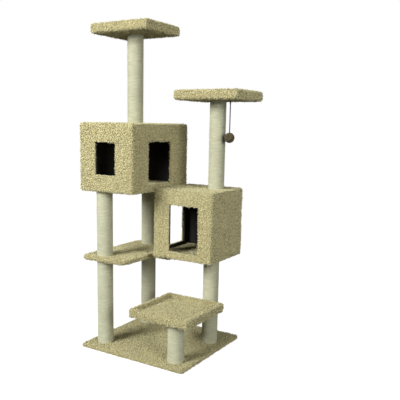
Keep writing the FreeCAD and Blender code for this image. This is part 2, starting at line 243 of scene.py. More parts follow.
class GeometryTree(Graph):
    """A Geometry Nodes tree with named inputs and one geometry output."""

    def __init__(self, name: str, inputs: dict[str, tuple[str, Value | None]]) -> None:
        """Make an empty tree.

        Args:
            name: the tree's name.
            inputs: each input's socket type and default, by its name.
        """
        super().__init__(bpy.data.node_groups.new(name, "GeometryNodeTree"))
        self.sockets: dict[str, str] = {}
        for label, (kind, default) in inputs.items():
            socket = self.tree.interface.new_socket(name=label, in_out="INPUT", socket_type=kind)
            if default is not None:
                socket.default_value = default
            self.sockets[label] = socket.identifier
        self.tree.interface.new_socket(name="Geometry", in_out="OUTPUT", socket_type="NodeSocketGeometry")
        self.entry = self.add("NodeGroupInput")

    def given(self, label: str) -> bpy.types.NodeSocket:
        """The socket that carries a named input into the tree."""
        return self.entry.outputs[label]

    def given_num(self, label: str) -> Num:
        """A named input as a number."""
        return Num(self, self.given(label))

    def finish(self, geometry: bpy.types.NodeSocket) -> None:
        """End the tree in Realize Instances and Set Material."""
        real = self.add("GeometryNodeRealizeInstances", inputs={"Geometry": geometry}).outputs[0]
        inputs = {"Geometry": real, "Material": self.given("Material")}
        dressed = self.add("GeometryNodeSetMaterial", inputs=inputs).outputs[0]
        self.add("NodeGroupOutput", inputs={0: dressed})

    def run(self, name: str, base: bpy.types.Object | None, values: dict[str, Value]) -> bpy.types.Object:
        """Evaluate the tree and keep its result as a plain mesh.

        Args:
            name: the new piece's name.
            base: the object whose mesh the tree works on, which is used up; none for an empty one.
            values: the inputs, by name.

        Returns:
            The piece, at the origin.
        """
        host = base or link(bpy.data.objects.new(name + "_host", bpy.data.meshes.new(name + "_host")))
        modifier = host.modifiers.new(self.tree.name, "NODES")
        modifier.node_group = self.tree
        for label, value in values.items():
            modifier[self.sockets[label]] = value
        piece = frozen(host, name)
        piece.data.materials.clear()
        piece.data.materials.append(values["Material"])
        discard(host)
        return piece


def link(thing: bpy.types.Object) -> bpy.types.Object:
    """Put an object in the scene."""
    bpy.context.scene.collection.objects.link(thing)
    return thing


def discard(thing: bpy.types.Object) -> None:
    """Remove a helper object and its mesh."""
    mesh = thing.data
    bpy.data.objects.remove(thing)
    bpy.data.meshes.remove(mesh)


def frozen(source: bpy.types.Object, name: str) -> bpy.types.Object:
    """A plain mesh object of what an object's modifiers give."""
    graph = bpy.context.evaluated_depsgraph_get()
    graph.update()
    mesh = bpy.data.meshes.new_from_object(source.evaluated_get(graph), depsgraph=graph)
    mesh.name = name
    return link(bpy.data.objects.new(name, mesh))


def stored(tree: GeometryTree, geometry: bpy.types.NodeSocket, label: str, value: Value,
           domain: str = "POINT") -> bpy.types.NodeSocket:
    """Store a number on a geometry under a name."""
    settings = {"data_type": "FLOAT", "domain": domain}
    inputs = {"Geometry": geometry, "Name": label, "Value": value}
    return tree.add("GeometryNodeStoreNamedAttribute", settings, inputs).outputs[0]


def height_of(tree: GeometryTree) -> Num:
    """The Z of each point."""
    place = tree.add("GeometryNodeInputPosition").outputs[0]
    return tree.num("ShaderNodeSeparateXYZ", inputs={0: place}, output="Z")


def random_between(tree: GeometryTree, low: float, high: float, seed: Value) -> Num:
    """A seeded random number for each point."""
    inputs = {"Min_001": low, "Max_001": high, "Seed": seed}
    return tree.num("FunctionNodeRandomValue", {"data_type": "FLOAT"}, inputs, "Value_001")


# ------------------------------------------------------------------ finishes
@dataclass(frozen=True)
class Finish:
    """A named surface whose nodes a subclass adds."""

    name: str
    roughness: float = 0.9
    metallic: float = 0.0
    sheen: float = 0.0

    def build(self) -> bpy.types.Material:
        """The finish as a material."""
        material = bpy.data.materials.new(self.name)
        material.use_nodes = True
        material.node_tree.nodes.clear()
        graph = Graph(material.node_tree)
        place = graph.add("ShaderNodeTexCoord").outputs["Object"]
        inputs: dict[str | int, Value] = {
            "Roughness": self.roughness, "Metallic": self.metallic, "Sheen Weight": self.sheen,
        }
        inputs.update(self.surface(graph, place))
        shader = graph.add("ShaderNodeBsdfPrincipled", inputs=inputs)
        graph.add("ShaderNodeOutputMaterial", inputs={"Surface": shader.outputs[0]})
        return material

    def surface(self, graph: Graph, place: bpy.types.NodeSocket) -> dict[str | int, Value]:
        """The shader's varying inputs."""
        raise NotImplementedError

    @staticmethod
    def bumped(graph: Graph, height: Num, strength: float, distance: float) -> bpy.types.NodeSocket:
        """A normal bumped by a height."""
        inputs = {"Strength": strength, "Distance": distance, "Height": height}
        return graph.add("ShaderNodeBump", inputs=inputs).outputs[0]


@dataclass(frozen=True)
class PileFinish(Finish):
    """Cut pile in mixed yarns, with painted shade darkening each tuft towards its root and over the backing
    between tufts.
    """

    straw: Colour = rgb(0.93, 0.866, 0.49)
    tan: Colour = rgb(0.65, 0.578, 0.29)
    fleck: Colour = rgb(0.40, 0.34, 0.165)
    # root: painted shade, the colour deep in the pile and on the backing between tufts, where light hardly
    # reaches
    root: Colour = rgb(0.43, 0.368, 0.18)
    fleck_share: float = 0.07
    cells_per_metre: float = 170.0
    patches_per_metre: float = 26.0

    def surface(self, graph: Graph, place: bpy.types.NodeSocket) -> dict[str | int, Value]:
        """Yarn colours by tuft and by patch."""
        tuft = graph.num("ShaderNodeAttribute", {"attribute_name": "shade"}, output="Fac")
        height = graph.num("ShaderNodeAttribute", {"attribute_name": "pile_height"}, output="Fac")
        patch = graph.noise(place, self.patches_per_metre, 3.0, 0.6)
        fine = graph.noise(place, self.cells_per_metre, 1.0)
        blend = 0.7 * tuft + 0.3 * patch + 0.8 * fine - 0.40
        yarn = graph.mix(blend, self.tan, self.straw)
        flecked = graph.mix(tuft < self.fleck_share, yarn, self.fleck)
        # painted shade: towards each tuft's foot and on the backing, the colour darkens to the root colour
        colour = graph.mix(height ** 0.8, self.root, flecked)
        return {"Base Color": colour}


@dataclass(frozen=True)
class RopeFinish(Finish):
    """Pale sisal with three twisted strands, painted shade in the grooves between them and stray darker
    fibres.
    """

    pale: Colour = rgb(0.83, 0.82, 0.595)
    shade: Colour = rgb(0.565, 0.55, 0.355)
    # painted shade in the hollows between the strands
    groove_shade: Colour = rgb(0.27, 0.258, 0.16)
    strand_pitch: float = 0.011
    strands: float = 3.0
    fibres_per_metre: float = 420.0
    clouds_per_metre: float = 14.0
    lots_per_metre: float = 2.6
    relief: float = 0.6 * MM

    def surface(self, graph: Graph, place: bpy.types.NodeSocket) -> dict[str | int, Value]:
        """Strands from the winding's own lengthwise and crosswise values."""
        along = graph.num("ShaderNodeAttribute", {"attribute_name": "along"}, output="Fac")
        around = graph.num("ShaderNodeAttribute", {"attribute_name": "around"}, output="Fac")
        turn = along * (math.tau / self.strand_pitch) + around * (math.tau * self.strands)
        ridge = turn.sine() * 0.5 + 0.5
        fibre = graph.noise(place, self.fibres_per_metre, 2.0, 0.7)
        cloud = graph.noise(place, self.clouds_per_metre, 2.0)
        settings = {"noise_dimensions": "1D"}
        inputs = {"W": along * self.lots_per_metre, "Detail": 3.0}
        lot = graph.num("ShaderNodeTexNoise", settings, inputs, "Fac")
        tone = graph.mix(cloud * 0.5 + fibre * 0.5 + lot * 1.3 - 0.65, self.shade, self.pale)
        # painted shade: the colour darkens to the groove colour in the hollows between strands
        colour = graph.mix(0.35 + 0.65 * ridge ** 0.5, self.groove_shade, tone)
        normal = self.bumped(graph, ridge + 0.4 * fibre, 0.5, self.relief)
        return {"Base Color": colour, "Normal": normal}


@dataclass(frozen=True)
class BoardFinish(Finish):
    """Pressed chips in two woods, for boards with no cover."""

    light: Colour = rgb(0.56, 0.42, 0.25)
    dark: Colour = rgb(0.36, 0.25, 0.14)
    chips_per_metre: float = 190.0
    grains_per_metre: float = 900.0
    relief: float = 0.4 * MM

    def surface(self, graph: Graph, place: bpy.types.NodeSocket) -> dict[str | int, Value]:
        """Chips as cells, each with its own tone."""
        stretch = graph.add("ShaderNodeMapping", inputs={"Vector": place, "Scale": (1.0, 0.6, 1.0)})
        settings = {"feature": "F1"}
        inputs = {"Vector": stretch.outputs[0], "Scale": self.chips_per_metre}
        cells = graph.add("ShaderNodeTexVoronoi", settings, inputs)
        tone = graph.num("ShaderNodeSeparateColor", inputs={0: cells.outputs["Color"]})
        grain = graph.noise(place, self.grains_per_metre, 2.0)
        colour = graph.mix(tone * 0.8 + grain * 0.2, self.dark, self.light)
        edge = Num(graph, cells.outputs["Distance"])
        return {"Base Color": colour, "Normal": self.bumped(graph, edge, 0.25, self.relief)}


@dataclass(frozen=True)
class TubeFinish(Finish):
    """Grey-brown paper wound in a spiral."""

    light: Colour = rgb(0.50, 0.38, 0.24)
    dark: Colour = rgb(0.33, 0.24, 0.14)
    fibres_per_metre: float = 160.0
    seams: float = 120.0
    relief: float = 0.3 * MM

    def surface(self, graph: Graph, place: bpy.types.NodeSocket) -> dict[str | int, Value]:
        """Fibres and faint seams."""
        pulp = graph.noise(place, self.fibres_per_metre, 5.0, 0.7)
        upright = graph.num("ShaderNodeSeparateXYZ", inputs={0: place}, output="Z")
        seam = (upright * self.seams).sine() * 0.1
        colour = graph.mix(pulp + seam, self.dark, self.light)
        return {"Base Color": colour, "Normal": self.bumped(graph, pulp, 0.2, self.relief)}


@dataclass(frozen=True)
class GrainFinish(Finish):
    """Turned softwood with end grain rings."""

    light: Colour = rgb(0.62, 0.46, 0.26)
    dark: Colour = rgb(0.42, 0.28, 0.13)
    rings_per_metre: float = 60.0
    pores_per_metre: float = 700.0
    relief: float = 0.2 * MM

    def surface(self, graph: Graph, place: bpy.types.NodeSocket) -> dict[str | int, Value]:
        """Rings about a far pith, with pores."""
        settings = {"wave_type": "RINGS", "rings_direction": "Z"}
        inputs = {"Vector": place, "Scale": self.rings_per_metre, "Distortion": 2.5, "Detail": 3.0}
        rings = graph.num("ShaderNodeTexWave", settings, inputs, "Fac")
        pores = graph.noise(place, self.pores_per_metre, 2.0)
        colour = graph.mix(rings * 0.8 + pores * 0.3, self.dark, self.light)
        return {"Base Color": colour, "Normal": self.bumped(graph, pores, 0.2, self.relief)}


@dataclass(frozen=True)
class SteelFinish(Finish):
    """Zinc-plated steel with a spangled sheen and handling marks."""

    bright: Colour = rgb(0.60, 0.60, 0.58)
    dull: Colour = rgb(0.36, 0.36, 0.35)
    spangles_per_metre: float = 380.0

    def surface(self, graph: Graph, place: bpy.types.NodeSocket) -> dict[str | int, Value]:
        """Spangle in colour and roughness."""
        spangle = graph.noise(place, self.spangles_per_metre, 3.0, 0.6)
        colour = graph.mix(spangle, self.dull, self.bright)
        return {"Base Color": colour, "Roughness": 0.28 + 0.3 * spangle}


@dataclass(frozen=True)
class TwineFinish(Finish):
    """Brown twine with a twist and loose fibres."""

    light: Colour = rgb(0.17, 0.13, 0.048)
    dark: Colour = rgb(0.018, 0.013, 0.006)
    twist: float = 4.0 * MM
    fibres_per_metre: float = 900.0
    relief: float = 0.4 * MM

    def surface(self, graph: Graph, place: bpy.types.NodeSocket) -> dict[str | int, Value]:
        """Twist along each strand, tone by strand."""
        along = graph.num("ShaderNodeAttribute", {"attribute_name": "along"}, output="Fac")
        around = graph.num("ShaderNodeAttribute", {"attribute_name": "around"}, output="Fac")
        tone = graph.num("ShaderNodeAttribute", {"attribute_name": "shade"}, output="Fac")
        ridge = (along * (math.tau / self.twist) + around * (2.0 * math.tau)).sine() * 0.5 + 0.5
        fibre = graph.noise(place, self.fibres_per_metre, 2.0, 0.7)
        # the ridge term is painted shade: each twist's hollow is a little darker than its crest
        colour = graph.mix(1.1 * tone + 0.4 * fibre + 0.2 * ridge - 0.3, self.dark, self.light)
        return {"Base Color": colour, "Normal": self.bumped(graph, ridge + fibre, 0.6, self.relief)}


@dataclass(frozen=True)
class CordFinish(Finish):
    """Dark grey cord, braided."""

    light: Colour = rgb(0.085, 0.085, 0.098)
    dark: Colour = rgb(0.018, 0.018, 0.022)
    braid: float = 3.2 * MM
    turns_across: float = 900.0
    fibres_per_metre: float = 1500.0
    relief: float = 0.3 * MM

    def surface(self, graph: Graph, place: bpy.types.NodeSocket) -> dict[str | int, Value]:
        """Braid as crossing diagonals."""
        split = graph.add("ShaderNodeSeparateXYZ", inputs={0: place})
        across = (Num(graph, split.outputs["X"]) + Num(graph, split.outputs["Y"])) * self.turns_across
        down = Num(graph, split.outputs["Z"]) * (math.tau / self.braid)
        weave = (down + across).sine() * (down - across).sine() * 0.5 + 0.5
        fibre = graph.noise(place, self.fibres_per_metre, 2.0)
        # painted shade: the braid's hollows are darker than its raised crossings
        colour = graph.mix(0.7 * weave + 0.3 * fibre, self.dark, self.light)
        return {"Base Color": colour, "Normal": self.bumped(graph, weave, 0.5, self.relief)}


@dataclass(frozen=True)
class StageFinish(Finish):
    """The studio's plain pale floor."""

    pale: Colour = rgb(0.18, 0.18, 0.18)
    glow: float = 1.0

    def surface(self, graph: Graph, place: bpy.types.NodeSocket) -> dict[str | int, Value]:
        """A flat pale colour that glows where the camera sees it."""
        seen = graph.add("ShaderNodeLightPath").outputs["Is Camera Ray"]
        glow = graph.mix(seen, rgb(0.0, 0.0, 0.0), rgb(1.0, 1.0, 1.0))
        return {"Base Color": self.pale, "Emission Color": glow, "Emission Strength": self.glow}


class Wardrobe:
    """Holds one material for each slot and dresses pieces and frame nodes."""

    def __init__(self) -> None:
        """Build the materials."""
        self.materials: dict[Slot, bpy.types.Material] = {
            Slot.CARPET: PileFinish("pile_carpet", 0.95, sheen=0.15).build(),
            Slot.ROPE: RopeFinish("sisal", 0.9, sheen=0.1).build(),
            Slot.TUBE: TubeFinish("spiral_paper", 0.85).build(),
            Slot.PLUG: GrainFinish("softwood", 0.7).build(),
            Slot.BOARD: BoardFinish("chip_board", 0.75).build(),
            # painted shade: a dark chip board made near-black for the condos' unlit interiors
            Slot.DARK_BOARD: BoardFinish(
                "dark_chip_board", 0.8, light=rgb(0.030, 0.024, 0.018), dark=rgb(0.012, 0.010, 0.008)
            ).build(),
            Slot.STEEL: SteelFinish("zinc", 0.4, 1.0).build(),
            Slot.BALL: TwineFinish("brown_twine", 0.9, sheen=0.1).build(),
            Slot.CORD: CordFinish("braided_cord", 0.8).build(),
        }

    def dress_frame(self) -> None:
        """Give every node of the frame its slot's material."""
        for part in frame["record"]["subparts"]:
            node = frame["nodes"][part["node"]]
            node.data.materials.clear()
            node.data.materials.append(self.materials[Slot(part["material_slot"])])

    def place(self, piece: bpy.types.Object, slot: Slot, body: str, *stands_for: str) -> bpy.types.Object:
        """Finish a piece: its slot, its body and the frame nodes that it stands for."""
        if not piece.data.materials:
            piece.data.materials.append(self.materials[slot])
        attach(piece, body)
        if stands_for:
            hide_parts(*stands_for)
        faces = len(piece.data.polygons) if piece.type == "MESH" else 0
        LOG.info("%s on %s: %d faces", piece.name, body, faces)
        return piece


# ------------------------------------------------------------------ mesh making
def inset(limits: Limits, amount: float) -> Limits:
    """Limits moved inwards at both ends."""
    return (limits[0] + amount, limits[1] - amount)


def middle(limits: Limits) -> float:
    """The place halfway between two limits."""
    return sum(limits) / 2.0


def limits_of(node: str) -> tuple[Limits, Limits, Limits]:
    """A frame node's limits on X, Y and Z."""
    low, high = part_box(node)
    return tuple((low[axis], high[axis]) for axis in range(3))


def arc(centre: Spot, radius: float, start: float, steps: int = 6) -> list[Spot]:
    """Points on a quarter turn.

    Args:
        centre: the arc's centre.
        radius: its radius.
        start: its first angle, in degrees.
        steps: how many chords it has.

    Returns:
        The points, anticlockwise.
    """
    angles = [math.radians(start + 90.0 * step / steps) for step in range(steps + 1)]
    return [(centre[0] + radius * math.cos(a), centre[1] + radius * math.sin(a)) for a in angles]


def rounded_rectangle(x: Limits, y: Limits, radius: float) -> list[Spot]:
    """A rectangle's outline with round corners, anticlockwise from its front right corner."""
    inner_x = inset(x, radius)
    inner_y = inset(y, radius)
    points = arc((inner_x[1], inner_y[0]), radius, -90.0)
    points += arc((inner_x[1], inner_y[1]), radius, 0.0)
    points += arc((inner_x[0], inner_y[1]), radius, 90.0)
    return points + arc((inner_x[0], inner_y[0]), radius, 180.0)


def slab(name: str, outline: list[Spot], z: Limits, edge: float = 0.0) -> bpy.types.Object:
    """An upright prism with softened top and bottom edges.

    Args:
        name: the object's name.
        outline: its plan, anticlockwise.
        z: its lower and upper height.
        edge: the round of its top and bottom edges; none if zero.

    Returns:
        The object.
    """
    shape = bmesh.new()
    floor = shape.faces.new([shape.verts.new((x, y, z[0])) for x, y in reversed(outline)])
    lifted = bmesh.ops.extrude_face_region(shape, geom=[floor], use_keep_orig=True)["geom"]
    raised = [item for item in lifted if isinstance(item, bmesh.types.BMVert)]
    bmesh.ops.translate(shape, verts=raised, vec=(0.0, 0.0, z[1] - z[0]))
    bmesh.ops.recalc_face_normals(shape, faces=shape.faces)
    if edge > 0.0:
        level = [e for e in shape.edges if abs(e.verts[0].co.z - e.verts[1].co.z) < 1e-7]
        bmesh.ops.bevel(shape, geom=level, offset=edge, segments=4, profile=0.5, affect="EDGES",
                        clamp_overlap=True)
    mesh = bpy.data.meshes.new(name)
    shape.to_mesh(mesh)
    shape.free()
    return link(bpy.data.objects.new(name, mesh))


def block(x: Limits, y: Limits, z: Limits) -> bpy.types.Object:
    """A plain box, used as a cutter."""
    return slab("cutter", [(x[0], y[0]), (x[1], y[0]), (x[1], y[1]), (x[0], y[1])], z)


def settled(shape: bpy.types.Object) -> bpy.types.Object:
    """Put a shape's triangles in one fixed order, whatever order a cut left them in."""
    mesh = shape.data
    mesh.calc_loop_triangles()
    places = [tuple(round(number, 6) for number in vertex.co) for vertex in mesh.vertices]
    order = sorted(set(places))
    rank = {place: number for number, place in enumerate(order)}
    faces = set()
    for triangle in mesh.loop_triangles:
        ranks = [rank[places[vertex]] for vertex in triangle.vertices]
        first = ranks.index(min(ranks))
        face = tuple(ranks[first:] + ranks[:first])
        if len(set(face)) == 3:
            faces.add(face)
    mesh.clear_geometry()
    mesh.from_pydata(order, [], sorted(faces))
    return shape


def combined(base: bpy.types.Object, how: str, *tools: bpy.types.Object) -> bpy.types.Object:
    """Cut, join or intersect a shape with others, which are used up.

    Args:
        base: the shape to change, used up as well.
        how: DIFFERENCE, UNION or INTERSECT.
        tools: the other shapes.

    Returns:
        The new shape.
    """
    for tool in tools:
        modifier = base.modifiers.new(how.lower(), "BOOLEAN")
        modifier.operation = how
        modifier.solver = "EXACT"
        modifier.object = tool
    result = frozen(base, base.name.split(".")[0])
    for used in (base, *tools):
        discard(used)
    return result


class PileTree(GeometryTree):
    """Plants leaning, curled tufts of yarn over the faces marked as pile."""

    YARN_SIDES = 3
    YARN_STEPS = 2
    TIP_SHARE = 0.62
    CURL_SHARE = 1.3
    ROOT_SHARE = 0.12
    CROWDING = 6.0
    FLOOR_GAP = 0.2 * MM

    def __init__(self) -> None:
        """Build the tree."""
        super().__init__("pile", {
            "Geometry": ("NodeSocketGeometry", None),
            "Spacing": ("NodeSocketFloat", 5.2 * MM),
            "Pile Height": ("NodeSocketFloat", 6.0 * MM),
            "Yarn Radius": ("NodeSocketFloat", 3.6 * MM),
            "Lean": ("NodeSocketFloat", 0.7),
            "Seed": ("NodeSocketInt", 1),
            "Material": ("NodeSocketMaterial", None),
        })
        backing = self.given("Geometry")
        spots = self.spots(backing)
        spin = self.spin(spots.outputs["Rotation"])
        size = self.add("ShaderNodeCombineXYZ", inputs={
            0: random_between(self, 0.8, 1.25, self.seed(3)),
            1: random_between(self, 0.8, 1.25, self.seed(4)),
            2: random_between(self, 0.6, 1.35, self.seed(5)),
        }).outputs[0]
        inputs = {
            "Points": spots.outputs["Points"], "Instance": self.tuft(), "Rotation": spin, "Scale": size,
        }
        planted = self.add("GeometryNodeInstanceOnPoints", inputs=inputs).outputs[0]
        shaded = stored(self, planted, "shade", random_between(self, 0.0, 1.0, self.seed(6)), "INSTANCE")
        # the backing gets pile height zero, so its finish paints it fully in the root's painted shade
        base = stored(self, backing, "pile_height", 0.0)
        joined = self.add("GeometryNodeJoinGeometry")
        self.feed(joined.inputs[0], shaded)
        self.feed(joined.inputs[0], base)
        self.finish(self.above_floor(joined.outputs[0]))

    def above_floor(self, geometry: bpy.types.NodeSocket) -> bpy.types.NodeSocket:
        """Press flat whatever pile would reach below the floor."""
        real = self.add("GeometryNodeRealizeInstances", inputs={"Geometry": geometry}).outputs[0]
        place = self.add("GeometryNodeInputPosition").outputs[0]
        split = self.add("ShaderNodeSeparateXYZ", inputs={0: place})
        upright = Num(self, split.outputs["Z"])
        level = upright.math("MAXIMUM", upright, self.FLOOR_GAP)
        pressed = self.add("ShaderNodeCombineXYZ", inputs={
            0: split.outputs["X"], 1: split.outputs["Y"], 2: level,
        }).outputs[0]
        inputs = {"Geometry": real, "Position": pressed}
        return self.add("GeometryNodeSetPosition", inputs=inputs).outputs[0]

    def seed(self, step: int) -> Num:
        """The given seed moved on by a step."""
        return self.given_num("Seed") + float(step)

    def spots(self, backing: bpy.types.NodeSocket) -> bpy.types.Node:
        """Evenly scattered points on the marked faces."""
        settings = {"data_type": "BOOLEAN"}
        marked = self.add("GeometryNodeInputNamedAttribute", settings, {"Name": "pile"}).outputs["Attribute"]
        inputs = {"Geometry": backing, "Selection": marked}
        ground = self.add("GeometryNodeSeparateGeometry", {"domain": "FACE"}, inputs).outputs["Selection"]
        spacing = self.given_num("Spacing")
        inputs = {
            "Mesh": ground, "Distance Min": spacing,
            "Density Max": self.CROWDING / (spacing * spacing), "Seed": self.given("Seed"),
        }
        return self.add("GeometryNodeDistributePointsOnFaces", {"distribute_method": "POISSON"}, inputs)

    def spin(self, upright: bpy.types.NodeSocket) -> bpy.types.NodeSocket:
        """The upright direction leaned and turned at random."""
        lean = self.given_num("Lean")
        low = self.add("ShaderNodeCombineXYZ", inputs={0: lean * -1.0, 1: lean * -1.0, 2: -math.pi})
        high = self.add("ShaderNodeCombineXYZ", inputs={0: lean, 1: lean, 2: math.pi})
        inputs = {"Min": low.outputs[0], "Max": high.outputs[0], "Seed": self.seed(1)}
        settings = {"data_type": "FLOAT_VECTOR"}
        angles = self.find(self.add("FunctionNodeRandomValue", settings, inputs).outputs, "Value")
        turn = self.add("FunctionNodeEulerToRotation", inputs={0: angles}).outputs[0]
        settings = {"rotation_space": "LOCAL"}
        return self.add("FunctionNodeRotateRotation", settings, {0: upright, 1: turn}).outputs[0]

    def tuft(self) -> bpy.types.NodeSocket:
        """One curled tuft, from its root in the backing to its tip."""
        height = self.given_num("Pile Height")
        radius = self.given_num("Yarn Radius")
        inputs = {
            "Vertices": self.YARN_SIDES, "Side Segments": self.YARN_STEPS,
            "Radius Top": radius * self.TIP_SHARE, "Radius Bottom": radius, "Depth": height,
        }
        cone = self.add("GeometryNodeMeshCone", {"fill_type": "NGON"}, inputs).outputs[0]
        share = height_of(self) / height
        named = stored(self, cone, "pile_height", share)
        inputs = {0: share * share * radius * self.CURL_SHARE, 2: height * -self.ROOT_SHARE}
        curl = self.add("ShaderNodeCombineXYZ", inputs=inputs)
        inputs = {"Geometry": named, "Offset": curl.outputs[0]}
        moved = self.add("GeometryNodeSetPosition", inputs=inputs).outputs[0]
        inputs = {"Geometry": moved, "Shade Smooth": True}
        return self.add("GeometryNodeSetShadeSmooth", inputs=inputs).outputs[0]


class WindingTree(GeometryTree):
    """Winds a rope round a post in one helix."""

    TURN_STEPS = 40
    ROPE_SIDES = 7

    def __init__(self) -> None:
        """Build the tree."""
        super().__init__("winding", {
            "Post Radius": ("NodeSocketFloat", 47.0 * MM),
            "Rope Radius": ("NodeSocketFloat", 3.0 * MM),
            "Length": ("NodeSocketFloat", 0.5),
            "Foot": ("NodeSocketVector", None),
            "Material": ("NodeSocketMaterial", None),
        })
        rope = self.given_num("Rope Radius")
        line = self.given_num("Post Radius") - rope
        climb = self.given_num("Length") - rope * 2.0
        inputs = {
            "Resolution": self.TURN_STEPS, "Rotations": climb / (rope * 2.0),
            "Start Radius": line, "End Radius": line, "Height": climb,
        }
        helix = self.add("GeometryNodeCurveSpiral", inputs=inputs).outputs[0]
        lifted = self.add("ShaderNodeCombineXYZ", inputs={2: rope}).outputs[0]
        place = self.add("ShaderNodeVectorMath", {"operation": "ADD"}, {0: lifted, 1: self.given("Foot")})
        inputs = {"Geometry": helix, "Offset": place.outputs[0]}
        helix = self.add("GeometryNodeSetPosition", inputs=inputs).outputs[0]
        self.finish(swept(self, helix, rope, self.ROPE_SIDES))


class BallTree(GeometryTree):
    """Winds twine over a core in many great circles."""

    ROUND_STEPS = 44
    TWINE_SIDES = 5
    CORE_SHARE = 0.965
    TIGHTEST = 0.955

    def __init__(self) -> None:
        """Build the tree."""
        super().__init__("ball", {
            "Radius": ("NodeSocketFloat", 29.0 * MM),
            "Twine Radius": ("NodeSocketFloat", 1.3 * MM),
            "Rounds": ("NodeSocketInt", 70),
            "Centre": ("NodeSocketVector", None),
            "Seed": ("NodeSocketInt", 5),
            "Material": ("NodeSocketMaterial", None),
        })
        twine = self.given_num("Twine Radius")
        line = self.given_num("Radius") - twine * 1.2
        ring = self.add("GeometryNodeCurvePrimitiveCircle", inputs={
            "Resolution": self.ROUND_STEPS, "Radius": line,
        })
        points = self.add("GeometryNodePoints", inputs={"Count": self.given("Rounds")}).outputs[0]
        low = (-math.pi, -math.pi, -math.pi)
        high = (math.pi, math.pi, math.pi)
        settings = {"data_type": "FLOAT_VECTOR"}
        inputs = {"Min": low, "Max": high, "Seed": self.given("Seed")}
        angles = self.find(self.add("FunctionNodeRandomValue", settings, inputs).outputs, "Value")
        size = random_between(self, self.TIGHTEST, 1.0, self.given_num("Seed") + 1.0)
        inputs = {"Points": points, "Instance": ring.outputs[0], "Rotation": angles, "Scale": size.socket}
        rounds = self.add("GeometryNodeInstanceOnPoints", inputs=inputs).outputs[0]
        tone = random_between(self, 0.0, 1.0, self.given_num("Seed") + 2.0)
        toned = stored(self, rounds, "shade", tone, "INSTANCE")
        curves = self.add("GeometryNodeRealizeInstances", inputs={"Geometry": toned}).outputs[0]
        wound = swept(self, curves, twine, self.TWINE_SIDES)
        inputs = {"Radius": line * self.CORE_SHARE, "Subdivisions": 4}
        core = self.add("GeometryNodeMeshIcoSphere", inputs=inputs).outputs[0]
        joined = self.add("GeometryNodeJoinGeometry")
        self.feed(joined.inputs[0], wound)
        self.feed(joined.inputs[0], core)
        inputs = {"Geometry": joined.outputs[0], "Offset": self.given("Centre")}
        self.finish(self.add("GeometryNodeSetPosition", inputs=inputs).outputs[0])


def swept(tree: GeometryTree, curve: bpy.types.NodeSocket, radius: Num, sides: int) -> bpy.types.NodeSocket:
    """Sweep a round section along a curve, keeping how far along and around each point is."""
    parameter = tree.add("GeometryNodeSplineParameter")
    named = stored(tree, curve, "along", parameter.outputs["Length"])
    inputs = {"Resolution": sides, "Radius": radius}
    section = tree.add("GeometryNodeCurvePrimitiveCircle", inputs=inputs).outputs[0]
    section = stored(tree, section, "around", parameter.outputs["Factor"])
    inputs = {"Curve": named, "Profile Curve": section, "Fill Caps": True}
    mesh = tree.add("GeometryNodeCurveToMesh", inputs=inputs).outputs[0]
    return tree.add("GeometryNodeSetShadeSmooth", inputs={"Geometry": mesh, "Shade Smooth": True}).outputs[0]


@dataclass
class Carpeter:
    """Turns a backing into carpet: marks its pile faces and plants them."""

    wardrobe: Wardrobe
    tree: PileTree
    backing_drop: float = 4.2 * MM
    spacing: float = 5.2 * MM
    seed: int = 11

    def cover(self, backing: bpy.types.Object, node: str, piled: Test) -> bpy.types.Object:
        """Plant pile on a backing and finish the piece.

        Args:
            backing: the backing's shape, used up.
            node: the frame node that it stands for.
            piled: whether a face, by its centre and normal, carries pile.

        Returns:
            The finished carpet.
        """
        mesh = settled(backing).data
        marks = mesh.attributes.new("pile", "BOOLEAN", "FACE")
        marks.data.foreach_set("value", [piled(face.center, face.normal) for face in mesh.polygons])
        mesh.materials.clear()
        self.seed += 10
        piece = self.tree.run(node + "_pile", backing, {
            "Spacing": self.spacing, "Seed": self.seed,
            "Material": self.wardrobe.materials[Slot.CARPET],
        })
        return self.wardrobe.place(piece, Slot.CARPET, FRAME_BODY, node)


# ------------------------------------------------------------------ sub-assemblies
@dataclass
class Base:
    """The carpet over the base board."""

    carpeter: Carpeter
    corner: float = 20.0 * MM
    edge: float = 5.0 * MM
    blank: float = 10.0 * MM
    clearance: float = 0.5 * MM

    def build(self) -> None:
        """Make the carpet cap, open under the board."""
        x, y, z = limits_of("base_carpet")
        board_x, board_y, board_z = limits_of("base_board")
        drop = self.carpeter.backing_drop
        outline = rounded_rectangle(inset(x, drop), inset(y, drop), self.corner - drop)
        cap = slab("base_cap", outline, (-self.blank, z[1] - drop), self.edge)
        below = block(inset(x, -drop), inset(y, -drop), (-FAR, self.clearance))
        plan = rounded_rectangle(board_x, board_y, self.corner - CARPET)
        board = slab("cutter", plan, (-FAR, board_z[1]))
        cap = combined(cap, "DIFFERENCE", below, board)
        heart = Vector((0.0, 0.0, z[1] / 2.0))

        def outside(at: Vector, way: Vector) -> bool:
            """Whether a face is on the cap's outside."""
            return way.z > -0.5 and way.dot(at - heart) > 0.0

        self.carpeter.cover(cap, "base_carpet", outside)


@dataclass
class Shelf:
    """The shelf's carpet, over a plate with a tongue."""

    carpeter: Carpeter
    corner: float = 40.0 * MM
    edge: float = 9.0 * MM
    plate_right: float = -62.0 * MM
    tongue: Limits = (-20.0 * MM, 204.0 * MM)

    def build(self) -> None:
        """Make the wrapped plate."""
        x, y, z = limits_of("shelf_carpet")
        drop = self.carpeter.backing_drop
        plate_x = (x[0], self.plate_right)
        outer = rounded_rectangle(inset(plate_x, drop), inset(y, drop), self.corner - drop)
        quarter = len(outer) // 4
        end = x[1] - drop
        side = self.plate_right - drop
        across = inset(self.tongue, drop)
        step = [(side, across[0]), (end, across[0]), (end, across[1]), (side, across[1])]
        outline = outer[:quarter] + step + outer[quarter:]
        plate = slab("shelf_plate", outline, inset(z, drop), self.edge - drop / 2.0)
        self.carpeter.cover(plate, "shelf_carpet", lambda at, way: True)


